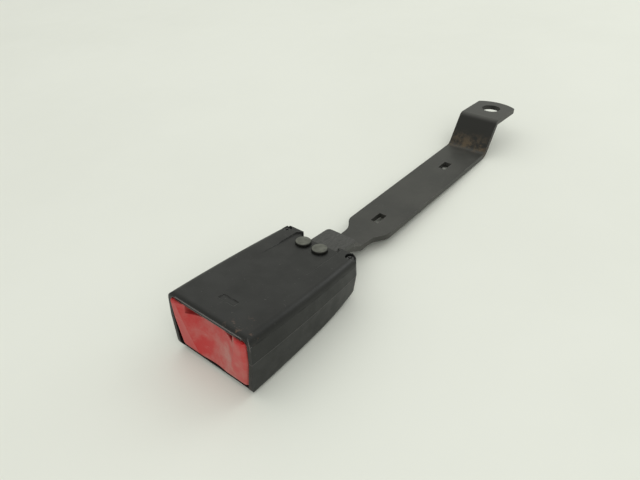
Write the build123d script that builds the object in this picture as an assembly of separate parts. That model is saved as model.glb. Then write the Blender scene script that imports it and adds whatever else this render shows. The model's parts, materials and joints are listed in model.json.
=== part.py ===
"""Seat belt buckle on a cranked steel stalk.

Millimetres. Every piece is drawn in the buckle's own frame and then laid down as the buckle
rests on a table, with the origin under its middle. In the buckle's frame X runs across, Y runs
from the mouth towards the stalk, Z is up, and Z = 0 is the face of the steel frame on which the
tongue slides.
"""
import os
from math import atan2, cos, degrees, radians, sin, tan

from build123d import *

# ---- stance -------------------------------------------------------------------------------
lean = 6.5                     # slope of the top face, down towards the stalk, as it rests

# ---- housing ------------------------------------------------------------------------------
housing_length = 74.0
side_room = 4.0                # from the button's arms to the outside of the widest section
side_bow = 0.92                # bow of each side, at the widest section
housing_taper = 3.2            # the rear is this much narrower than the mouth
widest_offset = 33.3           # place of the widest section, from the front lip
housing_wall = 1.8
top_height = 5.4               # top face above the tongue face
front_depth = 27.1             # underside below the tongue face, at the front edge
rear_depth = 14.2              # underside below the tongue face, at the rear edge
flat_base_length = 44.0        # length of underside that lies flat before it curves up
parting_depth_front = 7.6      # line where the two covers meet
parting_depth_rear = 4.2
upper_draft = 1.5              # degrees
lower_draft = 6.0              # degrees
top_edge_radius = 3.6
rear_corner_radius = 4.5
base_edge_radius = 3.2
front_lip_radius = 2.3
front_lip_depth = 2.0          # length of the thicker lip over the tongue slot
front_rake = 0.6               # the lower edge of the mouth stands this far behind the upper
front_foot_radius = 5.0        # lower front corner, seen from the side

# ---- rear of the upper cover ----------------------------------------------------------------
notch_width = 22.3
notch_depth = 3.4
rear_block_length = 3.6        # solid wall ahead of the notch
recess_width = 27.2            # shallow sunk panel round the rivets
recess_length = 25.0
recess_step = 0.7
recess_corner_radius = 3.0
mark_width = 9.4               # small sunk rectangle near the slot
mark_length = 3.2
mark_step = 0.35
mark_offset = 12.4
passage_gap = 0.3              # round the frame's tail where it leaves the housing

# ---- steel frame ------------------------------------------------------------------------------
frame_thickness = 2.5
frame_width = 36.0
fold_radius = 0.5              # inside radius of the folds
frame_front = 14.0
channel_rivet_gap = 9.0        # rivets behind the end of the side walls
channel_depth = 16.0           # side walls, below the tongue face
tail_width = 18.1              # narrow tail that the stalk is riveted under
tail_overhang = 16.6           # tail behind the housing
tail_corner_radius = 2.2

# ---- rivets -----------------------------------------------------------------------------------
rivet_spacing = 10.2
rivet_inset = 8.0              # rivets ahead of the housing's rear
rivet_shank_diameter = 5.0
rivet_head_diameter = 8.0
rivet_head_height = 1.3
rivet_edge_share = 0.45         # share of the head's height that its edge takes
rivet_clearance = 0.1

# ---- stalk ------------------------------------------------------------------------------------
stalk_thickness = 3.0
stalk_width = 26.0
stalk_head_length = 7.5        # strap ahead of the rivets
crank_gap = 12.0               # first bend, behind the housing
neck_gap = 29.5                # the shank starts to widen this far behind the housing
stalk_head_width = 17.6
neck_width = 15.4
crank_angle = 22.0
crank_length = 12.8
shank_angle = 4.2              # shank rises this much against the tongue face
shank_length = 128.1
riser_angle = 58.3
riser_length = 22.4
tab_angle = 1.6
tab_length = 31.0
bend_radius = 4.0
shoulder_length = 13.0
tab_end_radius = 22.0
tab_corner_radius = 1.5
anchor_hole_diameter = 12.0
anchor_hole_inset = 12.8       # hole centre from the end of the tab
clip_hole_width = 5.0
clip_hole_length = 8.8
first_clip_hole = 26.2         # hole centre from the start of the shank
second_clip_hole = 99.6

# ---- tongue slot and button -----------------------------------------------------------------
slot_width = 29.0
slot_floor = 2.0               # slot floor below the tongue face
slot_roof = 2.9                # underside of the front lip above the tongue face
button_gap = 0.5
button_base_gap = 1.1
button_stand = 1.8             # the button's rim stands this far out of the mouth
button_rake = 2.9              # the foot of the button's face stands this far behind its top
button_hollow_top = 6.4        # depth of the scooped face under the slot
button_hollow_foot = 1.0       # and at its foot
button_dish_width = 36.0
button_wall = 1.7
button_stop_gap = 0.6          # between the pressed button and the frame
button_edge_radius = 2.4
button_corner_radius = 3.2     # lower corners of the button, seen from the front
button_travel = 6.0
shoulder_gap = 0.5             # top of the shoulders below the slot roof
arm_thickness = 2.5
arm_height = 9.0
arm_gap = 0.7
arm_reach = 4.0                # arm beyond the lock pin

# ---- button springs ---------------------------------------------------------------------------
button_spring_diameter = 7.0
button_spring_wire = 0.9
button_spring_turns = 4
button_spring_side_gap = 1.0   # off the frame's side walls
button_spring_depth = 17.6
spring_wall_offset = 21.0      # wall in the lower cover that the springs push on
spring_wall_thickness = 2.0
spring_wall_side_gap = 0.5
spring_wall_height = 12.4
spring_post_diameter = 4.4
spring_post_length = 3.0
spring_seat_gap = 0.1

# ---- latch --------------------------------------------------------------------------------
latch_thickness = 2.5
latch_gap = 0.4
latch_front = 18.5
latch_bar_length = 6.0
latch_bar_depth = 5.9
latch_tooth_width = 14.0
latch_tooth_length = 3.0
latch_tooth_drop = 0.3         # tooth tip below the tongue face when it is let down
latch_window_gap = 0.6
latch_pivot_offset = 44.0
latch_pivot_depth = 7.5
latch_eye_radius = 3.8
pivot_diameter = 4.0
pin_clearance = 0.06
latch_spring_wire = 0.9
latch_spring_turns = 3
latch_spring_offset = 9.6
latch_spring_play = 0.35        # coil off the pin
latch_coil_gap = 0.15

# ---- lock pin -----------------------------------------------------------------------------
lock_pin_diameter = 3.6
lock_pin_offset = 28.0
lock_pin_depth = 12.0
clip_thickness = 0.7
clip_diameter = 6.6
clip_gap = 0.1
pin_groove_depth = 0.4
pin_end_chamfer = 0.3
pin_end_length = 0.6           # pin beyond its clip

# ---- ejector ------------------------------------------------------------------------------
ejector_width = 18.0
ejector_front = 23.6
ejector_length = 7.4
ejector_head_height = 2.8
ejector_corner_radius = 1.5
ejector_gap = 0.3
ejector_travel = 11.0
ejector_slot_width = 6.6
ejector_keel_length = 5.0      # part of the ejector that runs in the frame's slot
ejector_foot_width = 11.0
ejector_foot_height = 0.9
ejector_spring_diameter = 5.4
ejector_spring_wire = 0.8
ejector_spring_turns = 6
ejector_post_diameter = 2.6
ejector_post_length = 3.0
ejector_end_gap = 0.4          # slot ahead of the keel
slot_stalk_gap = 1.5           # end of the slot ahead of the strap

# ---- tongue guide -------------------------------------------------------------------------
guide_rail_width = 2.6
guide_height = 3.3
guide_start = 15.0
guide_stop_gap = 5.0           # bridge behind the ejector at full travel
guide_bridge_length = 4.0
guide_bridge_thickness = 1.2
guide_opening = 29.8

# ---- cover screws ---------------------------------------------------------------------------
screw_side_inset = 3.6         # screw centre from the side wall's outside, at the rear
screw_inset = 3.4              # screw centre from the rear edge
screw_head_diameter = 4.3
screw_head_height = 1.2
screw_head_chamfer = 0.35
screw_cross_width = 0.6
screw_cross_depth = 0.6
screw_recess_diameter = 5.0
screw_recess_depth = 2.2
screw_shank_diameter = 2.6
screw_shank_length = 12.0
screw_clearance = 0.1
screw_boss_diameter = 6.6

# ---- worked-out places ------------------------------------------------------------------------
reach = 100.0                  # longer than the housing, for cutting blocks
mouth_reach = 10.0             # how far the hollow form runs out of the mouth
pick_range = 0.1               # an edge this near to a face counts as lying on it
lap = 0.5                      # forms that join run this far into each other
facing = 0.9                   # least share of a normal along an axis that it counts as facing
parting_pitch = degrees(atan2(parting_depth_front - parting_depth_rear, housing_length))
roof_inside = top_height - housing_wall
frame_side = frame_width / 2
frame_inside = frame_width - 2 * frame_thickness
spring_wall_width = frame_inside - 2 * spring_wall_side_gap
button_spring_spacing = frame_inside - 2 * button_spring_side_gap - button_spring_diameter
button_arm_inside = frame_side + arm_gap
button_arm_outside = button_arm_inside + arm_thickness
housing_width_middle = 2 * (button_arm_outside + side_room)
widest_taper = housing_taper * widest_offset / housing_length
housing_width_front = housing_width_middle - 2 * side_bow + widest_taper
housing_width_rear = housing_width_front - housing_taper
screw_spacing = housing_width_rear - 2 * screw_side_inset
notch_face = housing_length - notch_depth
rivet_offset = housing_length - rivet_inset
channel_end = rivet_offset - channel_rivet_gap
tail_end = housing_length + tail_overhang
stalk_start = rivet_offset - stalk_head_length
head_end = housing_length      # the riveted head narrows to the neck here
crank_start = housing_length + crank_gap
neck_end = housing_length + neck_gap
ejector_rear = ejector_front + ejector_length
ejector_slot_start = ejector_rear - ejector_keel_length - ejector_end_gap
ejector_slot_end = stalk_start - slot_stalk_gap
guide_end = ejector_rear + ejector_travel + guide_stop_gap + guide_bridge_length


def block(x_span, y_span, z_span):
    """Box between two coordinates on each axis."""
    size = [span[1] - span[0] for span in (x_span, y_span, z_span)]
    middle = [(span[0] + span[1]) / 2 for span in (x_span, y_span, z_span)]
    return Pos(*middle) * Box(*size)


def wide(width, y_span, z_span):
    """Box centred across the buckle."""
    return block((-width / 2, width / 2), y_span, z_span)


def upright(diameter, x, y, z_span):
    """Cylinder along Z."""
    height = z_span[1] - z_span[0]
    return Pos(x, y, sum(z_span) / 2) * Cylinder(diameter / 2, height)


def crosswise(diameter, x_span, y, z):
    """Cylinder along X."""
    length = x_span[1] - x_span[0]
    return Pos(sum(x_span) / 2, y, z) * Rot(0, 90, 0) * Cylinder(diameter / 2, length)


def lengthwise(diameter, x, y_span, z):
    """Cylinder along Y."""
    length = y_span[1] - y_span[0]
    return Pos(x, sum(y_span) / 2, z) * Rot(90, 0, 0) * Cylinder(diameter / 2, length)


def side_prism(outline, width):
    """Solid of a closed outline drawn in the Y-Z plane, centred across the buckle."""
    return extrude(Plane.YZ * make_face(outline), amount=width / 2, both=True)


def mirrored(piece):
    return mirror(piece, about=Plane.YZ)


# ---- housing form -------------------------------------------------------------------------------
parting_plane = Plane(
    origin=(0, 0, -parting_depth_front),
    x_dir=(1, 0, 0),
    z_dir=(0, -sin(radians(parting_pitch)), cos(radians(parting_pitch))),
)


def plan_face(inset):
    """Plan of the housing on the parting plane: bowed sides, square rear, open towards the front."""
    side_front = housing_width_front / 2 - inset
    side_middle = housing_width_middle / 2 - inset
    side_rear = housing_width_rear / 2 - inset
    rear = housing_length - inset
    right = ThreePointArc((side_front, 0), (side_middle, widest_offset), (side_rear, rear))
    left = ThreePointArc((-side_rear, rear), (-side_middle, widest_offset), (-side_front, 0))
    ahead = -mouth_reach
    outline = Curve() + [
        right,
        Line((side_rear, rear), (-side_rear, rear)),
        left,
        Polyline((-side_front, 0), (-side_front, ahead), (side_front, ahead), (side_front, 0)),
    ]
    return make_face(outline)


def side_outline(inset, front, rake):
    """Side view of the housing: flat top, base that lies flat and then curves up."""
    slope = tan(radians(lean))
    foot = front + rake
    base_front = (foot, -front_depth + inset + foot * slope)
    base_bend = (flat_base_length, -front_depth + inset + flat_base_length * slope)
    rear = housing_length - inset
    base_rear = (rear, -rear_depth + inset)
    top_rear = (rear, top_height - inset)
    top_front = (front, top_height - inset)
    along = (cos(radians(lean)), sin(radians(lean)))
    curve = TangentArc(base_bend, base_rear, tangent=along)
    return Curve() + [
        Line(base_front, base_bend),
        curve,
        Polyline(base_rear, top_rear, top_front, base_front),
    ]


def drafted_form(inset, front, rake):
    """Housing form with drafted sides and no rounded edges."""
    plan = parting_plane * plan_face(inset)
    above = extrude(plan, amount=3 * top_height, taper=upper_draft)
    below = extrude(plan, amount=-front_depth, taper=lower_draft)
    return (above + below) & side_prism(side_outline(inset, front, rake), 2 * housing_width_front)


def long_edges(form, z_low, z_high):
    """Edges that run along the housing between two heights."""
    found = []
    for edge in form.edges():
        box = edge.bounding_box()
        runs_along = box.size.Y > 0.6 * flat_base_length and box.size.Y > 3 * box.size.X
        if runs_along and z_low < box.center().Z < z_high:
            found.append(edge)
    return found


def edges_at(form, level):
    return long_edges(form, level - pick_range, level + pick_range)


def edge_rounding(edge, radius):
    """Cutter that rounds a long edge on the right side of the top face, and runs off both ends."""
    front, rear = sorted([edge @ 0, edge @ 1], key=lambda point: point.Y)
    runoff = Vector(0, 2 * top_height, 0)
    path = Curve() + [Line(front - runoff, front), edge, Line(rear, rear + runoff)]
    spare = 1.0
    size = radius + spare
    profile = Pos((spare - radius) / 2, (radius - spare) / 2) * Rectangle(size, size)
    profile -= Pos(-radius, radius) * Circle(radius)
    start = Plane(origin=front - runoff, x_dir=(1, 0, 0), z_dir=(0, 1, 0))
    return sweep(start * profile, path=path, transition=Transition.RIGHT)


def rear_upright_edges(form):
    """Standing edges at the rear corners."""
    found = []
    for edge in form.edges():
        box = edge.bounding_box()
        upright_edge = box.size.Z > 2 * box.size.Y and box.size.Z > 2 * box.size.X and box.size.Z > 2
        if upright_edge and box.center().Y > housing_length - 3 * rear_corner_radius:
            found.append(edge)
    return found


def rounded_housing():
    """Outer form of the closed housing."""
    form = drafted_form(0, 0, front_rake)
    form = fillet(rear_upright_edges(form), rear_corner_radius)
    right_edge = max(edges_at(form, top_height), key=lambda e: e.center().X)
    base_sides = long_edges(form, -front_depth, -parting_depth_front - 1)
    form = fillet(base_sides, base_edge_radius) - foot_rounding()
    form = fillet([edge for edge in form.edges() if is_front_top(edge)], front_lip_radius)
    rounding = edge_rounding(right_edge, top_edge_radius)
    return form - rounding - mirrored(rounding)


def foot_rounding():
    """Cutter that rounds the lower front corner of the housing in side view."""
    slope = radians(lean)
    corner = Vector(front_rake, -front_depth + front_rake * tan(slope))
    along_base = Vector(cos(slope), sin(slope))
    up_front = Vector(-front_rake, front_depth + top_height).normalized()
    tangent_length = front_foot_radius / tan(radians(along_base.get_angle(up_front)) / 2)
    on_base = corner + along_base * tangent_length
    on_front = corner + up_front * tangent_length
    below = Vector(along_base.Y, -along_base.X)
    ahead = Vector(-up_front.Y, up_front.X)
    middle = on_base - below * front_foot_radius
    corner_area = make_face(
        Polyline(
            middle, on_base, on_base + below, corner + below + ahead, on_front + ahead, on_front, close=True
        )
    )
    cutter = corner_area - Pos(middle.X, middle.Y) * Circle(front_foot_radius)
    return extrude(Plane.YZ * cutter, amount=housing_width_front, both=True)


def is_front_top(edge):
    box = edge.bounding_box()
    return box.max.Y < lap and box.min.Z > top_height - pick_range and box.size.X > housing_wall


def hollow_form():
    """Space inside the covers, open at the mouth."""
    form = drafted_form(housing_wall, -mouth_reach, 0)
    top_sides = edges_at(form, roof_inside)
    form = fillet(top_sides, top_edge_radius - housing_wall / 2)
    base_sides = long_edges(form, -front_depth, -parting_depth_front - 1)
    return fillet(base_sides, base_edge_radius - housing_wall)


def rivet_places():
    return [-rivet_spacing / 2, rivet_spacing / 2]


def screw_places():
    return [-screw_spacing / 2, screw_spacing / 2]


screw_offset = housing_length - screw_inset
screw_seat = top_height - screw_recess_depth
rivet_hole_diameter = rivet_shank_diameter + 2 * rivet_clearance
above_parting = parting_plane * Pos(0, 0, reach / 2) * Box(4 * reach, 4 * reach, reach)
below_parting = parting_plane * Pos(0, 0, -reach / 2) * Box(4 * reach, 4 * reach, reach)


def tail_passage():
    """Opening in the rear wall for the frame's tail and the stalk's head."""
    width = tail_width + 2 * passage_gap
    floor = -frame_thickness - stalk_thickness - passage_gap
    return wide(width, (notch_face - rear_block_length - 1, reach), (floor, passage_gap))


def sunk_panel():
    """Wedge cut that sinks the panel round the rivets, deepest at the rear."""
    slope = degrees(atan2(recess_step, recess_length))
    middle = notch_face - recess_length / 2
    rear_reach = notch_depth / 2
    outline = Pos(0, rear_reach / 2) * Rectangle(recess_width, recess_length + rear_reach)
    rear_corners = outline.vertices().group_by(Axis.Y)[-1]
    outline = fillet(rear_corners, recess_corner_radius)
    plane = Plane(
        origin=(0, middle, top_height - recess_step / 2),
        x_dir=(1, 0, 0),
        z_dir=(0, sin(radians(slope)), cos(radians(slope))),
    )
    return extrude(plane * outline, amount=top_height)


def upper_cover():
    shell = (outer - hollow) & above_parting
    lip = wide(housing_width_front - 10, (0, front_lip_depth), (slot_roof, roof_inside + lap))
    rear_wall = wide(
        housing_width_front,
        (notch_face - rear_block_length, housing_length),
        (-reach, reach),
    )
    rivet_boss = wide(
        recess_width - 4,
        (rivet_offset - rivet_head_diameter * 0.7, notch_face - rear_block_length + lap),
        (0, roof_inside + lap),
    )
    cover = shell + (rear_wall & outer & above_parting) + lip + rivet_boss
    notch = wide(notch_width, (notch_face, reach), (-reach, reach))
    cover -= notch
    cover -= tail_passage()
    cover -= sunk_panel()
    mark = wide(
        mark_width,
        (mark_offset - mark_length / 2, mark_offset + mark_length / 2),
        (top_height - mark_step, reach),
    )
    cover -= mark
    for x in rivet_places():
        cover -= upright(rivet_hole_diameter, x, rivet_offset, (-1, reach))
    for x in screw_places():
        cover -= upright(screw_recess_diameter, x, screw_offset, (screw_seat, reach))
        shank_hole = screw_shank_diameter + 2 * screw_clearance
        cover -= upright(shank_hole, x, screw_offset, (-reach, reach))
    return cover


def lower_cover():
    shell = (outer - hollow) & below_parting
    additions = []
    for x in screw_places():
        additions.append(upright(screw_boss_diameter, x, screw_offset, (-reach, 0)))
    wall_top = -front_depth + spring_wall_height
    spring_wall = wide(
        spring_wall_width,
        (spring_wall_offset, spring_wall_offset + spring_wall_thickness),
        (-reach, wall_top),
    )
    additions.append(spring_wall)
    cover = shell
    for addition in additions:
        cover += addition & outer & below_parting
    for x in spring_places():
        y_span = (spring_wall_offset - spring_post_length, spring_wall_offset + lap)
        cover += lengthwise(spring_post_diameter, x, y_span, -button_spring_depth)
    for x in screw_places():
        shank_hole = screw_shank_diameter + 2 * screw_clearance
        depth = screw_seat - screw_shank_length - screw_clearance
        cover -= upright(shank_hole, x, screw_offset, (depth, reach))
    cover -= tail_passage()
    return cover


def spring_places():
    return [-button_spring_spacing / 2, button_spring_spacing / 2]


# ---- steel frame and stalk ------------------------------------------------------------------------
def frame_channel():
    """Folded channel that carries the latch, with a tail for the stalk."""
    half = frame_side
    wall = frame_thickness
    tail = tail_width / 2
    waist_start = channel_end + 2
    waist_end = rivet_offset - rivet_head_diameter / 2
    right = [
        (half, frame_front),
        (half, waist_start),
        (tail, waist_end),
        (tail, tail_end),
    ]
    left = [(-x, y) for x, y in reversed(right)]
    plan = make_face(Polyline(*right, *left, close=True))
    corners = plan.vertices().group_by(Axis.Y)[-1]
    plan = fillet(corners, tail_corner_radius)
    plate = Pos(0, 0, -wall) * extrude(plan, amount=wall)
    section = Polyline(
        (-half, -channel_depth),
        (-half, 0),
        (half, 0),
        (half, -channel_depth),
        (half - wall, -channel_depth),
        (half - wall, -wall),
        (-half + wall, -wall),
        (-half + wall, -channel_depth),
        close=True,
    )
    channel_length = channel_end - frame_front
    walls = extrude(Plane.XZ * make_face(section), amount=-channel_length)
    channel = Pos(0, frame_front, 0) * walls
    outer_folds = [e for e in channel.edges() if is_long_at(e, half, 0)]
    channel = fillet(outer_folds, wall + fold_radius)
    inner_folds = [e for e in channel.edges() if is_long_at(e, half - wall, -wall)]
    channel = fillet(inner_folds, fold_radius)
    keep = wide(frame_width - 2 * wall - 2, (frame_front, tail_end), (-wall, 0))
    rear_plate = wide(frame_width, (channel_end, tail_end), (-wall, 0))
    return channel + (plate & (keep + rear_plate))


def is_long_at(edge, x, z):
    box = edge.bounding_box()
    middle = box.center()
    along = box.size.Y > 10
    return along and abs(abs(middle.X) - x) < 0.01 and abs(middle.Z - z) < 0.01


def buckle_frame():
    frame = frame_channel()
    window_width = latch_tooth_width + 2 * latch_window_gap
    window_end = latch_front + latch_tooth_length + 1.4
    window = wide(window_width, (latch_front - latch_window_gap, window_end), (-reach, reach))
    frame -= window
    slot = wide(ejector_slot_width, (ejector_slot_start, ejector_slot_end), (-reach, 1))
    frame -= slot
    tang_width = ejector_post_diameter - 0.2
    tang_start = ejector_slot_end - ejector_post_length
    frame += wide(tang_width, (tang_start, ejector_slot_end + 0.5), (-frame_thickness, 0))
    pivot_hole = pivot_diameter + 2 * pin_clearance
    both_sides = (-frame_width, frame_width)
    frame -= crosswise(pivot_hole, both_sides, latch_pivot_offset, -latch_pivot_depth)
    frame -= lock_pin_slot(frame_width * 2)
    for x in rivet_places():
        frame -= upright(rivet_hole_diameter, x, rivet_offset, (-reach, reach))
    return frame


def lock_pin_slot(width):
    """Slot along which the lock pin travels with the button."""
    width_of_slot = lock_pin_diameter + 2 * pin_clearance
    low = lock_pin_offset
    high = lock_pin_offset + button_travel
    z_span = (-lock_pin_depth - width_of_slot / 2, -lock_pin_depth + width_of_slot / 2)
    slot = wide(width, (low, high), z_span)
    for y in (low, high):
        slot += crosswise(width_of_slot, (-width / 2, width / 2), y, -lock_pin_depth)
    return slot


def stalk_line():
    """Corners of the stalk's upper face, from the riveted head to the tab, as (y, z)."""
    runs = [
        (crank_start - stalk_start, 0),
        (crank_length, -crank_angle),
        (shank_length, shank_angle),
        (riser_length, riser_angle),
        (tab_length, tab_angle),
    ]
    corners = [(stalk_start, -frame_thickness)]
    for length, angle in runs:
        y, z = corners[-1]
        corners.append((y + length * cos(radians(angle)), z + length * sin(radians(angle))))
    return corners


def along_run(start, angle, distance, drop=0.0):
    """Point at a distance along one straight run of the stalk, dropped into its thickness."""
    y = start[0] + distance * cos(radians(angle)) + drop * sin(radians(angle))
    z = start[1] + distance * sin(radians(angle)) - drop * cos(radians(angle))
    return y, z


def stalk_plan(corners):
    """Plan outline of the stalk: narrow head and neck, wide shank, rounded tab end."""
    half = stalk_width / 2
    neck = neck_width / 2
    head = stalk_head_width / 2
    shoulder_start = neck_end
    shoulder_end = neck_end + shoulder_length
    end = corners[-1][0]
    head_outline = Polyline((0, stalk_start), (head, stalk_start), (head, head_end))
    to_neck = Line((head, head_end), (neck, head_end + head - neck))
    neck_side = Line((neck, head_end + head - neck), (neck, shoulder_start))
    shoulder = Spline(
        (neck, shoulder_start),
        ((neck + half) / 2, (shoulder_start + shoulder_end) / 2),
        (half, shoulder_end),
        tangents=[(0, 1), (0, 1)],
    )
    corner_y = end - tab_end_radius + (tab_end_radius**2 - half**2) ** 0.5
    shank_side = Line((half, shoulder_end), (half, corner_y))
    tip = ThreePointArc((half, corner_y), (0, end), (-half, corner_y))
    right = [head_outline, to_neck, neck_side, shoulder, shank_side]
    left = [mirror(line, about=Plane.YZ) for line in right]
    face = make_face(Curve() + right + [tip] + left)
    tip_corners = [v for v in face.vertices() if abs(v.Y - corner_y) < 0.01]
    return fillet(tip_corners, tab_corner_radius)


def stalk_strap():
    corners = stalk_line()
    bends = [bend_radius] * (len(corners) - 2)
    top_line = FilletPolyline(*corners, radius=bends)
    half_thickness = stalk_thickness / 2
    strip_face = trace_strip(top_line)
    strip = extrude(Plane.YZ * strip_face, amount=stalk_width / 2 + 1, both=True)
    outline = Pos(0, 0, -reach) * extrude(stalk_plan(corners), amount=2 * reach)
    strap = strip & outline
    tab_start = corners[-2]
    hole_distance = tab_length - anchor_hole_inset
    hole_y, hole_z = along_run(tab_start, tab_angle, hole_distance, half_thickness)
    drill = Pos(0, hole_y, hole_z) * Rot(tab_angle, 0, 0)
    strap -= drill * Cylinder(anchor_hole_diameter / 2, 4 * stalk_thickness)
    for distance in (first_clip_hole, second_clip_hole):
        y, z = along_run(corners[2], shank_angle, distance, half_thickness)
        punch = Pos(0, y, z) * Rot(shank_angle, 0, 0)
        strap -= punch * Box(clip_hole_width, clip_hole_length, 4 * stalk_thickness)
    for x in rivet_places():
        strap -= upright(rivet_hole_diameter, x, rivet_offset, (-reach, reach))
    return strap


def trace_strip(top_line):
    """Side view of the bent strip, below its upper face line."""
    lower_line = offset_2d_line(top_line)
    ends = [
        Line(top_line @ 0, lower_line @ 0),
        Line(top_line @ 1, lower_line @ 1),
    ]
    return make_face(Curve() + top_line.edges() + lower_line.edges() + ends)


def offset_2d_line(top_line):
    below = offset(top_line, amount=stalk_thickness, side=Side.RIGHT, closed=False)
    if (below @ 0).X > (below @ 1).X:
        below = -below
    return below


def rivet(x):
    """Rivet through the cover, the frame's tail and the stalk's head."""
    tail_face = -frame_thickness - stalk_thickness
    panel = recess_floor_at(rivet_offset - rivet_head_diameter / 2)
    shank = upright(rivet_shank_diameter, x, rivet_offset, (tail_face, panel + 0.1))
    head = rivet_head(x, panel)
    tail = Pos(x, rivet_offset, tail_face) * rivet_tail()
    return shank + head + tail


def recess_floor_at(y):
    """Height of the sunk panel at a place along the buckle."""
    share = (y - (notch_face - recess_length)) / recess_length
    return top_height - recess_step * share


def rivet_head(x, seat):
    head = upright(rivet_head_diameter, x, rivet_offset, (seat, seat + rivet_head_height))
    rim = head.edges().group_by(Axis.Z)[-1]
    return fillet(rim, rivet_head_height * rivet_edge_share)


def rivet_tail():
    """Formed end of a rivet, below the origin."""
    tail = upright(rivet_head_diameter, 0, 0, (-rivet_head_height, 0))
    rim = tail.edges().group_by(Axis.Z)[0]
    return chamfer(rim, rivet_head_height * rivet_edge_share)


# ---- button ---------------------------------------------------------------------------------------
button_inset = housing_wall + button_gap
button_top = slot_roof - shoulder_gap
arm_middle = -lock_pin_depth + arm_height / 6
pocket_front = button_hollow_top - button_stand + button_wall
button_rim_depth = frame_front - button_travel - button_stop_gap


def button_block(inset, front, rear):
    """The housing's own form, drawn in to fit the mouth, between two places along the buckle."""
    body = drafted_form(inset, front, button_rake)
    raised = Pos(0, 0, button_base_gap - button_gap) * body
    return body & raised & wide(2 * housing_width_front, (-reach, rear), (-reach, reach))


def release_button():
    body = button_block(button_inset, -button_stand, button_rim_depth)
    body &= wide(2 * housing_width_front, (-reach, reach), (-reach, button_top))
    base_edges = [e for e in body.edges() if is_lengthwise(e) and e.center().Z < -front_depth / 2]
    body = fillet(base_edges, button_corner_radius)
    facing_out = [f for f in body.faces() if f.normal_at(f.center()).Y < -facing]
    face = max(facing_out, key=lambda f: f.area)
    rim = [e for e in face.edges() if e.center().Z < button_top - pick_range]
    body = fillet(rim, button_edge_radius)
    rake_angle = degrees(atan2(button_rake, front_depth))
    lean_back = degrees(atan2(button_hollow_top - button_hollow_foot, front_depth))
    dish_radius = (button_hollow_top**2 + (button_dish_width / 2) ** 2) / (2 * button_hollow_top)
    dish = Pos(0, 0, button_top) * Rot(rake_angle - lean_back, 0, 0)
    dish *= Pos(0, button_hollow_top - button_stand - dish_radius, 0)
    body -= dish * Cylinder(dish_radius, 3 * front_depth)
    body -= wide(slot_width, (-reach, reach), (-slot_floor, reach))
    pocket = button_block(button_inset + button_wall, -button_stand, reach)
    pocket &= wide(2 * housing_width_front, (pocket_front, reach), (-reach, button_top - button_wall))
    slot_walls = wide(
        slot_width + 2 * button_wall,
        (-reach, reach),
        (-slot_floor - button_wall, reach),
    )
    body -= pocket - slot_walls
    for side in (-1, 1):
        body += button_arm(side)
    for x in spring_places():
        y_span = (pocket_front - lap, pocket_front + spring_post_length)
        body += lengthwise(spring_post_diameter, x, y_span, -button_spring_depth)
    pin_hole = lock_pin_diameter + 2 * pin_clearance
    body -= crosswise(pin_hole, (-frame_width, frame_width), lock_pin_offset, -lock_pin_depth)
    return body


def is_lengthwise(edge):
    box = edge.bounding_box()
    return box.size.Y > 3 * box.size.X and box.size.Y > 3 * box.size.Z and box.size.Y > 3


def button_arm(side):
    """Arm beside the frame that carries one end of the lock pin, with a rounded tip."""
    x_span = sorted((side * button_arm_inside, side * button_arm_outside))
    tip = lock_pin_offset + arm_reach
    z_span = (arm_middle - arm_height / 2, arm_middle + arm_height / 2)
    arm = block(x_span, (pocket_front - lap, tip), z_span)
    tip_edges = [e for e in arm.edges() if abs(e.center().Y - tip) < 0.01 and e.bounding_box().size.X > 1]
    return fillet(tip_edges, arm_height / 4)


def coil_spring(diameter, wire, turns, length):
    """Compression spring along +Z from the origin."""
    radius = (diameter - wire) / 2
    coil_height = length - wire
    line = Helix(pitch=coil_height / turns, height=coil_height, radius=radius)
    section = Plane(origin=line @ 0, z_dir=line % 0) * RegularPolygon(wire / 2, 6)
    return Pos(0, 0, wire / 2) * sweep(section, path=line, is_frenet=True)


def spring_along(diameter, wire, turns, x, y_span, z):
    """Compression spring along Y between two seats."""
    start = y_span[0] + spring_seat_gap
    length = y_span[1] - spring_seat_gap - start
    return Pos(x, start, z) * Rot(-90, 0, 0) * coil_spring(diameter, wire, turns, length)


def button_spring(x):
    y_span = (pocket_front, spring_wall_offset)
    return spring_along(
        button_spring_diameter, button_spring_wire, button_spring_turns, x, y_span, -button_spring_depth
    )


# ---- latch ------------------------------------------------------------------------------------------
latch_width = frame_width - 2 * frame_thickness - 2 * latch_gap
latch_base = -latch_bar_depth - latch_thickness


def latch():
    """Folded latch: toothed bar at the front, an arm each side back to the pivot."""
    bar = wide(
        latch_width,
        (latch_front, latch_front + latch_bar_length),
        (latch_base, -latch_bar_depth),
    )
    tooth = wide(
        latch_tooth_width,
        (latch_front, latch_front + latch_tooth_length),
        (latch_base, -latch_tooth_drop),
    )
    nose = [e for e in tooth.edges() if e.center().Y < latch_front + 0.01 and e.center().Z > -1]
    nose = [e for e in nose if e.bounding_box().size.X > 1]
    tooth = chamfer(nose, latch_tooth_length / 2)
    solid = bar + tooth
    arm_outline = Polyline(
        (latch_front, latch_base),
        (latch_front, -latch_bar_depth),
        (latch_pivot_offset - latch_eye_radius, -latch_bar_depth),
        (latch_pivot_offset, -latch_pivot_depth + latch_eye_radius),
        (latch_pivot_offset, latch_base),
        close=True,
    )
    arm_face = make_face(arm_outline)
    arm_face += Pos(latch_pivot_offset, -latch_pivot_depth) * Circle(latch_eye_radius)
    for side in (-1, 1):
        middle = side * (latch_width - latch_thickness) / 2
        arm = extrude(Plane.YZ * arm_face, amount=latch_thickness / 2, both=True)
        solid += Pos(middle, 0, 0) * arm
    hole = pivot_diameter + 2 * pin_clearance
    return solid - crosswise(hole, (-reach, reach), latch_pivot_offset, -latch_pivot_depth)


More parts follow.
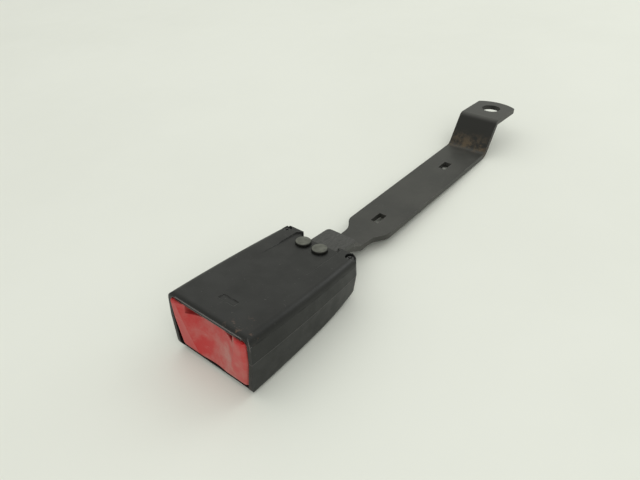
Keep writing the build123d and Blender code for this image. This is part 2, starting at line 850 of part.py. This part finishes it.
def retained_pin(diameter, half_length, y, z, clip_start):
    """Pin with a groove near each end for a spring clip."""
    pin = crosswise(diameter, (-half_length, half_length), y, z)
    ends = [e for e in pin.edges() if e.geom_type == GeomType.CIRCLE]
    pin = chamfer(ends, pin_end_chamfer)
    for side in (-1, 1):
        span = sorted((side * clip_start, side * (clip_start + clip_thickness + clip_gap)))
        groove = crosswise(diameter + 1, span, y, z)
        groove -= crosswise(groove_diameter(diameter), span, y, z)
        pin -= groove
    return pin


def groove_diameter(diameter):
    return diameter - 2 * pin_groove_depth


def retaining_clip(side, diameter, y, z, clip_start):
    """Open spring clip in a pin's groove."""
    start = clip_start + clip_gap / 2
    span = sorted((side * start, side * (start + clip_thickness)))
    clip = crosswise(clip_diameter, span, y, z)
    clip -= crosswise(groove_diameter(diameter) + clip_gap, span, y, z)
    mouth = groove_diameter(diameter) * 0.8
    opening = block(span, (y - mouth / 2, y + mouth / 2), (z - clip_diameter, z))
    return clip - opening


pivot_clip_start = frame_side + clip_gap
lock_clip_start = button_arm_outside + clip_gap
pin_end_reach = clip_thickness + pin_end_length


def latch_pivot_pin():
    half_length = pivot_clip_start + pin_end_reach
    return retained_pin(
        pivot_diameter, half_length, latch_pivot_offset, -latch_pivot_depth, pivot_clip_start
    )


def lock_pin():
    half_length = lock_clip_start + pin_end_reach
    return retained_pin(
        lock_pin_diameter, half_length, lock_pin_offset, -lock_pin_depth, lock_clip_start
    )


def rod_between(start, end, diameter):
    start, end = Vector(*start), Vector(*end)
    along = end - start
    plane = Plane(origin=start, z_dir=along)
    return extrude(plane * Circle(diameter / 2), amount=along.length)


def latch_spring():
    """Torsion spring on the pivot pin: one leg under the latch bar, one against the frame."""
    wire = latch_spring_wire
    radius = pivot_diameter / 2 + wire / 2 + latch_spring_play
    pitch = wire + latch_coil_gap
    turns = latch_spring_turns + 0.25
    line = Helix(pitch=pitch, height=pitch * turns, radius=radius)
    section = Plane(origin=line @ 0, z_dir=line % 0) * RegularPolygon(wire / 2, 6)
    coil = sweep(section, path=line, is_frenet=True)
    x = latch_spring_offset - pitch * turns
    centre = Plane(
        origin=(x, latch_pivot_offset, -latch_pivot_depth),
        x_dir=(0, 0, -1),
        z_dir=(1, 0, 0),
    )
    bar_y = latch_front + latch_bar_length * 0.6
    bar_z = latch_base - wire / 2 - 0.1
    lower_leg = rod_between(
        (x, bar_y, bar_z), (x, latch_pivot_offset + wire / 2, -latch_pivot_depth - radius), wire
    )
    upper_leg = rod_between(
        (latch_spring_offset, latch_pivot_offset + radius, -latch_pivot_depth - wire / 2),
        (latch_spring_offset, latch_pivot_offset + radius, -frame_thickness - latch_coil_gap),
        wire,
    )
    return centre * coil + lower_leg + upper_leg


# ---- ejector ------------------------------------------------------------------------------------------
ejector_line = -frame_thickness / 2


def ejector():
    """Slider that pushes the tongue out: head over the frame, keel in its slot, foot under it."""
    head = wide(
        ejector_width,
        (ejector_front, ejector_rear),
        (ejector_gap, ejector_gap + ejector_head_height),
    )
    corners = head.edges().filter_by(Axis.Z)
    head = fillet(corners, ejector_corner_radius)
    keel_span = (ejector_rear - ejector_keel_length, ejector_rear)
    keel_floor = -frame_thickness - ejector_gap
    keel = wide(ejector_slot_width - 2 * ejector_gap, keel_span, (keel_floor, ejector_gap + lap))
    foot = wide(ejector_foot_width, keel_span, (keel_floor - ejector_foot_height, keel_floor))
    y_span = (ejector_rear - lap, ejector_rear + ejector_post_length)
    post = lengthwise(ejector_post_diameter, 0, y_span, ejector_line)
    return head + keel + foot + post


def ejector_spring():
    y_span = (ejector_rear, ejector_slot_end)
    return spring_along(
        ejector_spring_diameter, ejector_spring_wire, ejector_spring_turns, 0, y_span, ejector_line
    )


def tongue_guide():
    """Moulded guide on the frame that keeps the tongue and the ejector in line."""
    half_opening = guide_opening / 2
    bridge_base = guide_height - guide_bridge_thickness
    guide = wide(
        guide_opening + 2 * guide_rail_width,
        (guide_end - guide_bridge_length, guide_end),
        (bridge_base, guide_height),
    )
    for side in (-1, 1):
        x_span = sorted((side * half_opening, side * (half_opening + guide_rail_width)))
        rail = block(x_span, (guide_start, guide_end), (0, guide_height))
        lead = [e for e in rail.edges() if is_guide_lead(e, side * half_opening)]
        guide += chamfer(lead, guide_rail_width * 0.5)
    return guide


def is_guide_lead(edge, x):
    box = edge.bounding_box()
    middle = box.center()
    return box.size.Z > 1 and abs(middle.X - x) < 0.01 and abs(middle.Y - guide_start) < 0.01


def cover_screw(x):
    """Self-tapping screw at the bottom of a corner hole."""
    head = upright(screw_head_diameter, x, screw_offset, (screw_seat, screw_seat + screw_head_height))
    rim = head.edges().group_by(Axis.Z)[-1]
    head = chamfer(rim, screw_head_chamfer)
    top = screw_seat + screw_head_height
    slot = screw_head_diameter * 0.6
    for turn in (0, 90):
        place = Pos(x, screw_offset, top) * Rot(0, 0, turn)
        cross = place * Box(slot, screw_cross_width, 2 * screw_cross_depth)
        head -= cross
    shank = upright(
        screw_shank_diameter, x, screw_offset, (screw_seat - screw_shank_length, screw_seat + 0.2)
    )
    return head + shank


# ---- the whole buckle -----------------------------------------------------------------------------------
outer = rounded_housing()
hollow = hollow_form()


def pieces():
    """Every piece by name, in the buckle's frame."""
    named = {
        "upper_cover": upper_cover(),
        "lower_cover": lower_cover(),
        "buckle_frame": buckle_frame(),
        "stalk_strap": stalk_strap(),
        "release_button": release_button(),
        "latch": latch(),
        "latch_pivot_pin": latch_pivot_pin(),
        "latch_spring": latch_spring(),
        "lock_pin": lock_pin(),
        "ejector": ejector(),
        "ejector_spring": ejector_spring(),
        "tongue_guide": tongue_guide(),
    }
    for side, name in ((-1, "left"), (1, "right")):
        named["frame_rivet_" + name] = rivet(side * rivet_spacing / 2)
        named["cover_screw_" + name] = cover_screw(side * screw_spacing / 2)
        named["button_spring_" + name] = button_spring(side * button_spring_spacing / 2)
        named["pivot_clip_" + name] = retaining_clip(
            side, pivot_diameter, latch_pivot_offset, -latch_pivot_depth, pivot_clip_start
        )
        named["lock_pin_clip_" + name] = retaining_clip(
            side, lock_pin_diameter, lock_pin_offset, -lock_pin_depth, lock_clip_start
        )
    return named


def laid_down(named):
    """Turn the pieces to the way the buckle rests, with the origin under its middle."""
    turned = {name: Rot(-lean, 0, 0) * piece for name, piece in named.items()}
    boxes = [piece.bounding_box() for piece in turned.values()]
    middle_x = (min(box.min.X for box in boxes) + max(box.max.X for box in boxes)) / 2
    middle_y = (min(box.min.Y for box in boxes) + max(box.max.Y for box in boxes)) / 2
    floor = min(box.min.Z for box in boxes)
    place = Pos(-middle_x, -middle_y, -floor)
    return {name: place * piece for name, piece in turned.items()}


os.makedirs("parts", exist_ok=True)
for piece_name, piece in laid_down(pieces()).items():
    export_step(piece, "parts/" + piece_name + ".step")
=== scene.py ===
import json
from math import cos, radians, sin, tau

import bpy
from mathutils import Matrix, Vector


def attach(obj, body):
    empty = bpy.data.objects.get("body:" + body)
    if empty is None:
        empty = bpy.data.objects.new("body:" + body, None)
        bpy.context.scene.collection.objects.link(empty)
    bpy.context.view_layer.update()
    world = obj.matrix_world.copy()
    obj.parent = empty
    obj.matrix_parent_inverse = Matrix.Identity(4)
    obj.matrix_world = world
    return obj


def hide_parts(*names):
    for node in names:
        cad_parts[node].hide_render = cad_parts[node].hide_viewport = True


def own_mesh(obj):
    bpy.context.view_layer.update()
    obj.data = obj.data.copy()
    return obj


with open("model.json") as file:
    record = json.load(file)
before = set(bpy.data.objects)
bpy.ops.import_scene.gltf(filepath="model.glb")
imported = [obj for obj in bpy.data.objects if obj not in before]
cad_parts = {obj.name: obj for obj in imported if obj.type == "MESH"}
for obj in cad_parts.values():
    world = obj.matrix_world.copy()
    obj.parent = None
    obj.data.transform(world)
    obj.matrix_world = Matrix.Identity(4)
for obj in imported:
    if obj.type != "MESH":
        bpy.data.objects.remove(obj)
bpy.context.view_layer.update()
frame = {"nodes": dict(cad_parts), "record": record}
nodes = frame["nodes"]
scene = bpy.context.scene
scene.view_settings.view_transform = "Standard"

mm_per_m = 1000.0


# ---- node helpers -------------------------------------------------------------------------
bevel_samples = 6
edge_cosines = (0.86, 0.99)      # rounded against true normal: an edge, and a flat face
upward_cosines = (0.80, 0.985)   # Z of the normal: a side, and a face that looks up
middle_of_noise = (0.3, 0.7)     # nearly all of a noise texture lies between these


class Surface:
    """A material's node tree, with short calls for the nodes used here."""

    def __init__(self, name):
        self.material = bpy.data.materials.new(name)
        self.material.use_nodes = True
        self.tree = self.material.node_tree
        self.shader = self.tree.nodes["Principled BSDF"]
        self.coords = self.tree.nodes.new("ShaderNodeTexCoord").outputs["Object"]

    def add(self, kind, **settings):
        node = self.tree.nodes.new(kind)
        for key, value in settings.items():
            setattr(node, key, value)
        return node

    def link(self, source, target):
        self.tree.links.new(source, target)

    def stretched(self, scale):
        node = self.add("ShaderNodeMapping")
        node.inputs["Scale"].default_value = scale
        self.link(self.coords, node.inputs["Vector"])
        return node.outputs["Vector"]

    def noise(self, scale, detail=4.0, rough=0.55, vector=None):
        node = self.add("ShaderNodeTexNoise")
        node.inputs["Scale"].default_value = scale
        node.inputs["Detail"].default_value = detail
        node.inputs["Roughness"].default_value = rough
        self.link(vector or self.coords, node.inputs["Vector"])
        return node.outputs["Fac"]

    def spread(self, value, low, high, to_low=0.0, to_high=1.0):
        node = self.add("ShaderNodeMapRange", interpolation_type="SMOOTHSTEP")
        node.inputs["From Min"].default_value = low
        node.inputs["From Max"].default_value = high
        node.inputs["To Min"].default_value = to_low
        node.inputs["To Max"].default_value = to_high
        self.link(value, node.inputs["Value"])
        return node.outputs["Result"]

    def patches(self, low, high, scale, detail=4.0, rough=0.55, vector=None):
        """Share that is 1 where a noise is above high and 0 where it is below low."""
        return self.spread(self.noise(scale, detail, rough, vector), low, high)

    def between(self, noise, low, high):
        """Value that wanders between two others as a noise does."""
        return self.spread(noise, *middle_of_noise, low, high)

    def math(self, operation, *values):
        node = self.add("ShaderNodeMath", operation=operation)
        for socket, value in zip(node.inputs, values):
            if isinstance(value, (int, float)):
                socket.default_value = value
            else:
                self.link(value, socket)
        return node.outputs["Value"]

    def times(self, first, second):
        return self.math("MULTIPLY", first, second)

    def place(self, axis):
        """Position along an axis of the object, in millimetres."""
        node = self.add("ShaderNodeSeparateXYZ")
        self.link(self.coords, node.inputs["Vector"])
        return self.times(node.outputs[axis], mm_per_m)

    def blend(self, share, first, second):
        node = self.add("ShaderNodeMix", data_type="RGBA")
        self.link(share, node.inputs["Factor"])
        for socket, colour in ((node.inputs["A"], first), (node.inputs["B"], second)):
            if isinstance(colour, tuple):
                socket.default_value = (*colour, 1.0)
            else:
                self.link(colour, socket)
        return node.outputs["Result"]

    def tint(self, colour, share, strength, paint):
        """The colour, covered by a paint where the share is high."""
        return self.blend(self.times(share, strength), colour, paint)

    def bump(self, height, strength, distance, under=None):
        node = self.add("ShaderNodeBump")
        node.inputs["Strength"].default_value = strength
        node.inputs["Distance"].default_value = distance
        self.link(height, node.inputs["Height"])
        if under:
            self.link(under, node.inputs["Normal"])
        self.link(node.outputs["Normal"], self.shader.inputs["Normal"])

    def softened(self, radius):
        """Normal with the edges rounded off, and a share that is high along those edges."""
        bevel = self.add("ShaderNodeBevel", samples=bevel_samples)
        bevel.inputs["Radius"].default_value = radius
        true_normal = self.add("ShaderNodeNewGeometry").outputs["Normal"]
        dot = self.add("ShaderNodeVectorMath", operation="DOT_PRODUCT")
        self.link(bevel.outputs["Normal"], dot.inputs[0])
        self.link(true_normal, dot.inputs[1])
        edge = self.spread(dot.outputs["Value"], *edge_cosines, 1.0, 0.0)
        return bevel.outputs["Normal"], edge

    def facing_up(self):
        """Share by which the surface faces up."""
        node = self.add("ShaderNodeSeparateXYZ")
        self.link(self.add("ShaderNodeNewGeometry").outputs["Normal"], node.inputs["Vector"])
        return self.spread(node.outputs["Z"], *upward_cosines)

    def near(self, place, reach):
        """Share that falls off from a point, in millimetres."""
        total = None
        for axis, centre in zip("XYZ", place):
            offset = self.math("SUBTRACT", self.place(axis), centre)
            square = self.times(offset, offset)
            total = square if total is None else self.math("ADD", total, square)
        return self.spread(total, 0.0, reach * reach, 1.0, 0.0)

    def finish(self, colour, rough, metallic=0.0):
        self.link(colour, self.shader.inputs["Base Color"])
        self.link(rough, self.shader.inputs["Roughness"])
        self.shader.inputs["Metallic"].default_value = metallic
        return self.material


# ---- materials ----------------------------------------------------------------------------
# Places are in millimetres in the row frame; between the two places of a pair a mark fades in or
# out. Noise scales are per metre, bump distances and bevel radii in metres.
satin_specular = 0.36

scuffed_corner = (17.0, -130.5, 31.5)
scuff_reach = 10.0
over_slot_front = (-132.6, -131.6)   # painted highlight line on the cover's lip over the slot: along Y
over_slot_foot = (26.0, 27.5)        # and up Z
seam_front = (-134.45, 19.38)        # the covers meet on the line between these two points, (Y, Z)
seam_rear = (-60.54, 14.38)
seam_half_width = (0.08, 0.36)
seam_strength = 0.5

haze_middle = (9.0, 22.0)            # off the middle of the button's face, along X
haze_to_right = (-6.0, 18.0)

riser_foot = (90.0, 92.5)            # the strap's riser, along Y
riser_head = (103.0, 105.5)
dirt_and_reflection_start = (87.0, 93.0)            # brown dirt and a painted reflection on the riser: along Y
dirt_and_reflection_top = (5.0, 14.0)               # and up Z


def moulded_black():
    """Satin black plastic: fine grain, dust in patches, rubbed edges, a scuffed front corner, and
    a painted highlight line along the lip over the slot.
    """
    black, dusty = (0.0042, 0.0045, 0.0042), (0.0092, 0.0096, 0.0088)
    speck, scuff, worn = (0.11, 0.11, 0.10), (0.10, 0.10, 0.095), (0.085, 0.085, 0.080)
    chip, lip_highlight, seam_grey = (0.105, 0.062, 0.042), (0.22, 0.21, 0.20), (0.075, 0.073, 0.066)
    s = Surface("moulded_black")
    colour = s.blend(s.patches(0.38, 0.72, scale=38.0, detail=5.0, rough=0.6), black, dusty)
    specks = s.patches(0.70, 0.76, scale=900.0, detail=2.0, rough=0.5)
    colour = s.tint(colour, specks, 0.35, speck)
    lengthwise = s.stretched((5.0, 1.0, 5.0))
    scuffs = s.patches(0.66, 0.74, scale=55.0, detail=6.0, rough=0.75, vector=lengthwise)
    colour = s.tint(colour, scuffs, 0.30, scuff)

    rounded, edge = s.softened(radius=0.0006)
    rubbed = s.times(edge, s.patches(0.40, 0.62, scale=160.0, detail=5.0, rough=0.7))
    colour = s.tint(colour, rubbed, 0.55, worn)
    chips = s.patches(0.56, 0.64, scale=430.0, detail=5.0, rough=0.7)
    colour = s.tint(colour, s.times(s.near(scuffed_corner, scuff_reach), chips), 0.7, chip)
    # Painted highlight: a pale line along the edge of the lip over the slot.
    lip_highlight_share = s.times(s.spread(s.place("Y"), *over_slot_front, 1.0, 0.0), edge)
    lip_highlight_share = s.times(lip_highlight_share, s.spread(s.place("Z"), *over_slot_foot))
    colour = s.tint(colour, lip_highlight_share, 0.8, lip_highlight)

    slope = (seam_rear[1] - seam_front[1]) / (seam_rear[0] - seam_front[0])
    seam_height = s.times(s.math("SUBTRACT", s.place("Y"), seam_front[0]), slope)
    off_seam = s.math("SUBTRACT", s.math("SUBTRACT", s.place("Z"), seam_height), seam_front[1])
    seam = s.spread(s.math("ABSOLUTE", off_seam), *seam_half_width, seam_strength, 0.0)
    colour = s.blend(seam, colour, seam_grey)

    rough = s.between(s.noise(scale=120.0, detail=4.0), 0.36, 0.48)
    s.shader.inputs["Specular IOR Level"].default_value = satin_specular
    grain = s.noise(scale=2600.0, detail=3.0, rough=0.6)
    s.bump(grain, strength=0.20, distance=0.00008, under=rounded)
    return s.finish(colour, rough)


def faded_red():
    """Faded red button: whitish haze in the middle of the face, fresh colour at its ends, and a
    painted highlight along its rounded edges.
    """
    red, bleached = (0.47, 0.016, 0.016), (0.46, 0.25, 0.215)
    rubbed, edge_highlight = (0.60, 0.36, 0.32), (0.66, 0.085, 0.075)
    s = Surface("faded_red")
    clouds = s.noise(scale=85.0, detail=6.0, rough=0.68)
    middle = s.spread(s.math("ABSOLUTE", s.place("X")), *haze_middle, 1.0, 0.15)
    haze = s.times(s.spread(clouds, 0.36, 0.68), s.math("ADD", middle, 0.25))
    haze = s.times(haze, s.spread(s.place("X"), *haze_to_right, 0.34, 0.86))
    colour = s.blend(haze, red, bleached)
    crosswise = s.stretched((1.0, 1.0, 6.0))
    streaks = s.patches(0.60, 0.74, scale=60.0, detail=5.0, rough=0.7, vector=crosswise)
    colour = s.tint(colour, streaks, 0.35, rubbed)
    rounded, edge = s.softened(radius=0.0008)
    # Painted highlight: brighter red along the rounded edges.
    colour = s.tint(colour, edge, 0.35, edge_highlight)
    s.bump(s.noise(scale=1400.0, detail=3.0), strength=0.12, distance=0.00008, under=rounded)
    return s.finish(colour, s.between(clouds, 0.36, 0.56))


def strap_black():
    """Black painted steel strap: olive cast, fine marks along it, the riser darkened with painted
    shade, brown dirt and a painted reflection on its lower part.
    """
    olive, pale_olive = (0.027, 0.027, 0.0235), (0.046, 0.045, 0.039)
    mark, painted_riser_shade = (0.13, 0.13, 0.12), (0.0060, 0.0056, 0.0042)
    brown_dirt_and_reflection, worn = (0.115, 0.080, 0.045), (0.17, 0.165, 0.15)
    s = Surface("strap_black")
    along = s.noise(scale=240.0, detail=6.0, rough=0.65, vector=s.stretched((9.0, 1.0, 9.0)))
    clouds = s.noise(scale=45.0, detail=5.0, rough=0.6)
    colour = s.blend(s.spread(clouds, 0.35, 0.7), olive, pale_olive)
    colour = s.tint(colour, s.spread(along, 0.62, 0.72), 0.35, mark)

    y = s.place("Y")
    z = s.place("Z")
    # Painted shade: the riser is made darker than the rest of the strap.
    riser_shade_share = s.times(s.spread(y, *riser_foot), s.spread(y, *riser_head, 1.0, 0.0))
    colour = s.tint(colour, riser_shade_share, 0.9, painted_riser_shade)
    # Brown band on the lower riser: dirt and a painted reflection.
    dirt_and_reflection = s.times(s.spread(y, *dirt_and_reflection_start), s.spread(z, *dirt_and_reflection_top, 1.0, 0.0))
    dirt_and_reflection = s.times(dirt_and_reflection, s.patches(0.40, 0.62, scale=210.0, detail=6.0, rough=0.7))
    colour = s.tint(colour, dirt_and_reflection, 0.75, brown_dirt_and_reflection)

    rounded, edge = s.softened(radius=0.0005)
    rubbed = s.times(edge, s.patches(0.42, 0.60, scale=190.0, detail=5.0, rough=0.7))
    colour = s.tint(colour, rubbed, 0.6, worn)
    rough = s.math("ADD", s.between(clouds, 0.36, 0.48), s.times(dirt_and_reflection, 0.3))
    s.shader.inputs["Specular IOR Level"].default_value = satin_specular
    s.bump(along, strength=0.10, distance=0.0001, under=rounded)
    return s.finish(colour, rough)


def frame_black():
    """Dark plated steel of the folded frame."""
    dark, light = (0.034, 0.034, 0.032), (0.068, 0.067, 0.063)
    s = Surface("frame_black")
    along = s.noise(scale=300.0, detail=5.0, rough=0.6, vector=s.stretched((8.0, 1.0, 8.0)))
    colour = s.blend(s.spread(along, 0.35, 0.7), dark, light)
    s.bump(along, strength=0.08, distance=0.0001)
    return s.finish(colour, s.between(s.noise(scale=90.0), 0.34, 0.46), metallic=0.35)


def zinc(name, dull, bright, rough, metallic, painted_shade_on_sides=False):
    """Plated steel with a mottled dull bloom; the sides may be darkened with painted shade, as on
    the rivets.
    """
    pit_share = 0.45
    side = (0.012, 0.012, 0.010)
    s = Surface(name)
    bloom = s.noise(scale=420.0, detail=6.0, rough=0.7)
    colour = s.blend(s.spread(bloom, 0.35, 0.68), dull, bright)
    pits = s.patches(0.62, 0.72, scale=1500.0, detail=3.0)
    colour = s.tint(colour, pits, 0.4, tuple(pit_share * channel for channel in dull))
    if painted_shade_on_sides:
        # Painted shade on the sides, which do not face up.
        colour = s.blend(s.facing_up(), side, colour)
    s.bump(bloom, strength=0.10, distance=0.00008)
    return s.finish(colour, s.between(s.noise(scale=200.0), *rough), metallic)


def drawn_wire():
    """Spring steel with fine marks round it."""
    dark, light = (0.26, 0.26, 0.27), (0.42, 0.42, 0.43)
    s = Surface("drawn_wire")
    marks = s.noise(scale=1200.0, detail=4.0, rough=0.6)
    colour = s.blend(s.spread(marks, 0.35, 0.7), dark, light)
    s.bump(marks, strength=0.06, distance=0.00005)
    return s.finish(colour, s.between(s.noise(scale=500.0), 0.22, 0.36), metallic=0.95)


def natural_plastic():
    """Uncoloured acetal, a little waxy."""
    cream, pale = (0.60, 0.58, 0.52), (0.70, 0.69, 0.64)
    s = Surface("natural_plastic")
    colour = s.blend(s.patches(0.35, 0.7, scale=70.0, detail=4.0, rough=0.6), cream, pale)
    s.bump(s.noise(scale=900.0, detail=3.0), strength=0.06, distance=0.00006)
    return s.finish(colour, s.between(s.noise(scale=160.0), 0.34, 0.46))


def painted_screw():
    """Black painted screw head, a little mottled."""
    dark, light = (0.020, 0.020, 0.020), (0.050, 0.050, 0.048)
    s = Surface("painted_screw")
    clouds = s.noise(scale=600.0, detail=4.0, rough=0.6)
    colour = s.blend(s.spread(clouds, 0.4, 0.7), dark, light)
    s.bump(clouds, strength=0.08, distance=0.00005)
    return s.finish(colour, s.between(s.noise(scale=300.0), 0.34, 0.50))


finishes = {
    "black_plastic": moulded_black(),
    "red_plastic": faded_red(),
    "natural_plastic": natural_plastic(),
    "strap": strap_black(),
    "frame": frame_black(),
    "zinc_steel": zinc(
        "zinc_steel", dull=(0.40, 0.40, 0.37), bright=(0.56, 0.56, 0.53),
        rough=(0.26, 0.42), metallic=0.9,
    ),
    "bright_steel": zinc(
        "bright_steel", dull=(0.50, 0.50, 0.50), bright=(0.62, 0.62, 0.61),
        rough=(0.16, 0.28), metallic=0.95,
    ),
    "zinc_rivet": zinc(
        "zinc_rivet", dull=(0.078, 0.080, 0.066), bright=(0.132, 0.134, 0.112),
        rough=(0.38, 0.54), metallic=0.45, painted_shade_on_sides=True,
    ),
    "spring_steel": drawn_wire(),
    "black_screw": painted_screw(),
}
# These two nodes have a finish of their own; the rest take that of their material slot.
own_finish = {"stalk_strap": "strap", "buckle_frame": "frame"}
for part in frame["record"]["subparts"]:
    node = nodes[part["node"]]
    finish = finishes[own_finish.get(part["node"], part["material_slot"])]
    if not node.material_slots:
        node.data.materials.append(finish)
    for slot in node.material_slots:
        slot.material = finish


# ---- springs ------------------------------------------------------------------------------
# The buckle's own frame has Y from the mouth to the stalk and Z off the tongue's face.
lean = radians(6.5)
mouth_offset = (-0.133592, 0.026926)
steps_per_turn = 40
wire_sides = 12
end_turns = 2            # one closed turn at each end
closed_pitch = 1.02      # of a closed turn, in wire diameters


def from_buckle(x, y, z):
    """Place in the row frame of a point given in the buckle's own frame, in millimetres."""
    along = (y * cos(lean) + z * sin(lean)) / mm_per_m + mouth_offset[0]
    up = (z * cos(lean) - y * sin(lean)) / mm_per_m + mouth_offset[1]
    return Vector((x / mm_per_m, along, up))


def round_spring(name, node, x, z, ends, diameter, wire, turns):
    """Compression spring of round wire with closed ends.

    x and z place its axis, and ends are its front and rear along Y; all in millimetres in the
    buckle's own frame.
    """
    front, rear = ends
    radius = (diameter - wire) / 2.0
    rise = rear - front - wire
    all_turns = turns + end_turns
    steps = steps_per_turn * all_turns
    closing = wire * closed_pitch
    verts = []
    for step in range(steps + 1):
        turn = step / steps * all_turns
        if turn < 1.0:
            climb = closing * turn
        elif turn > turns + 1.0:
            climb = rise - closing * (all_turns - turn)
        else:
            climb = closing + (rise - 2.0 * closing) * (turn - 1.0) / turns
        angle = tau * turn
        for side in range(wire_sides):
            tilt = tau * side / wire_sides
            reach = radius + wire / 2.0 * cos(tilt)
            depth = front + wire / 2.0 + climb + wire / 2.0 * sin(tilt)
            verts.append(from_buckle(x + reach * cos(angle), depth, z + reach * sin(angle)))
    last_ring = steps * wire_sides
    faces = [
        tuple(range(wire_sides)),
        tuple(last_ring + side for side in reversed(range(wire_sides))),
    ]
    for step in range(steps):
        here, beyond = step * wire_sides, (step + 1) * wire_sides
        for side in range(wire_sides):
            after = (side + 1) % wire_sides
            faces.append((here + side, beyond + side, beyond + after, here + after))
    mesh = bpy.data.meshes.new(name)
    mesh.from_pydata(verts, [], faces)
    mesh.validate()
    for face in mesh.polygons:
        face.use_smooth = len(face.vertices) != wire_sides
    mesh.materials.append(finishes["spring_steel"])
    spring = bpy.data.objects.new(name, mesh)
    scene.collection.objects.link(spring)
    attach(spring, "buckle")
    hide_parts(node)
    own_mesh(spring)


for side_name, side_x in (("left", -11.0), ("right", 11.0)):
    round_spring(
        "button_coil_" + side_name,
        "button_spring_" + side_name,
        x=side_x, z=-17.6, ends=(6.41, 20.89), diameter=7.0, wire=0.9, turns=4,
    )
round_spring(
    "ejector_coil",
    "ejector_spring",
    x=0.0, z=-1.25, ends=(31.12, 56.88), diameter=5.4, wire=0.8, turns=6,
)


# ---- floor --------------------------------------------------------------------------------
floor_size = 6.0


def pale_floor():
    """Matt pale floor with broad, faint clouds."""
    shaded, pale = (0.765, 0.770, 0.690), (0.790, 0.795, 0.715)
    s = Surface("pale_floor")
    colour = s.blend(s.patches(0.35, 0.65, scale=3.0, detail=4.0, rough=0.6), shaded, pale)
    return s.finish(colour, s.between(s.noise(scale=60.0), 0.55, 0.68))


bpy.ops.mesh.primitive_plane_add(size=floor_size, location=(0.0, 0.0, 0.0))
floor = bpy.context.object
floor.name = "floor"
floor.data.materials.append(pale_floor())


# ---- camera -------------------------------------------------------------------------------
# The place is in metres, the angles in degrees, the lens and the sensor in millimetres.
camera_place = (0.14658, -0.22326, 0.19311)
camera_azimuth = 42.085
camera_elevation = 37.704
camera_roll = -4.639
lens = 32.03
sensor_width = 36.0


def look(azimuth, elevation, roll):
    """Camera axes for a view from an azimuth and elevation, with a roll."""
    back = Vector((sin(azimuth) * cos(elevation), -cos(azimuth) * cos(elevation), sin(elevation)))
    right = Vector((cos(azimuth), sin(azimuth), 0.0))
    up = back.cross(right)
    turned_right = right * cos(roll) + up * sin(roll)
    turned_up = up * cos(roll) - right * sin(roll)
    return Matrix((turned_right, turned_up, back)).transposed()


camera_data = bpy.data.cameras.new("camera")
camera_data.sensor_fit = "HORIZONTAL"
camera_data.sensor_width = sensor_width
camera_data.lens = lens
camera = bpy.data.objects.new("camera", camera_data)
turned = look(radians(camera_azimuth), radians(camera_elevation), radians(camera_roll))
camera.matrix_world = Matrix.Translation(camera_place) @ turned.to_4x4()
scene.collection.objects.link(camera)
scene.camera = camera


# ---- light --------------------------------------------------------------------------------
sky_colour = (0.93, 0.96, 0.95, 1.0)
sky_strength = 0.74
backdrop_colour = (0.72, 0.735, 0.665, 1.0)


def soft_lamp(name, place, size, power, colour):
    """Round area lamp that looks at the middle of the part; metres and watts."""
    data = bpy.data.lights.new(name, "AREA")
    data.shape = "DISK"
    data.size = size
    data.energy = power
    data.color = colour
    lamp = bpy.data.objects.new(name, data)
    lamp.location = place
    lamp.rotation_euler = (-Vector(place)).to_track_quat("-Z", "Y").to_euler()
    scene.collection.objects.link(lamp)


soft_lamp("key", place=(-0.55, 0.25, 1.05), size=1.6, power=2.6, colour=(1.0, 0.99, 0.97))
soft_lamp("fill", place=(0.75, -0.55, 0.9), size=1.0, power=2.6, colour=(1.0, 1.0, 0.99))
soft_lamp("rear", place=(0.35, 0.95, 0.8), size=0.8, power=2.6, colour=(0.98, 1.0, 1.0))

# The sky lights the scene; the camera and what shines or lets light through see a plain backdrop.
world = bpy.data.worlds.new("world")
scene.world = world
world.use_nodes = True
lighting = world.node_tree.nodes["Background"]
lighting.inputs["Color"].default_value = sky_colour
lighting.inputs["Strength"].default_value = sky_strength
seen = world.node_tree.nodes.new("ShaderNodeBackground")
seen.inputs["Color"].default_value = backdrop_colour
rays = world.node_tree.nodes.new("ShaderNodeLightPath").outputs
world_links = world.node_tree.links
seen_share = rays["Is Camera Ray"]
for ray in ("Is Glossy Ray", "Is Transmission Ray"):
    either = world.node_tree.nodes.new("ShaderNodeMath")
    either.operation = "MAXIMUM"
    world_links.new(seen_share, either.inputs[0])
    world_links.new(rays[ray], either.inputs[1])
    seen_share = either.outputs["Value"]
mixed = world.node_tree.nodes.new("ShaderNodeMixShader")
world_links.new(seen_share, mixed.inputs[0])
world_links.new(lighting.outputs["Background"], mixed.inputs[1])
world_links.new(seen.outputs["Background"], mixed.inputs[2])
world_links.new(mixed.outputs["Shader"], world.node_tree.nodes["World Output"].inputs["Surface"])
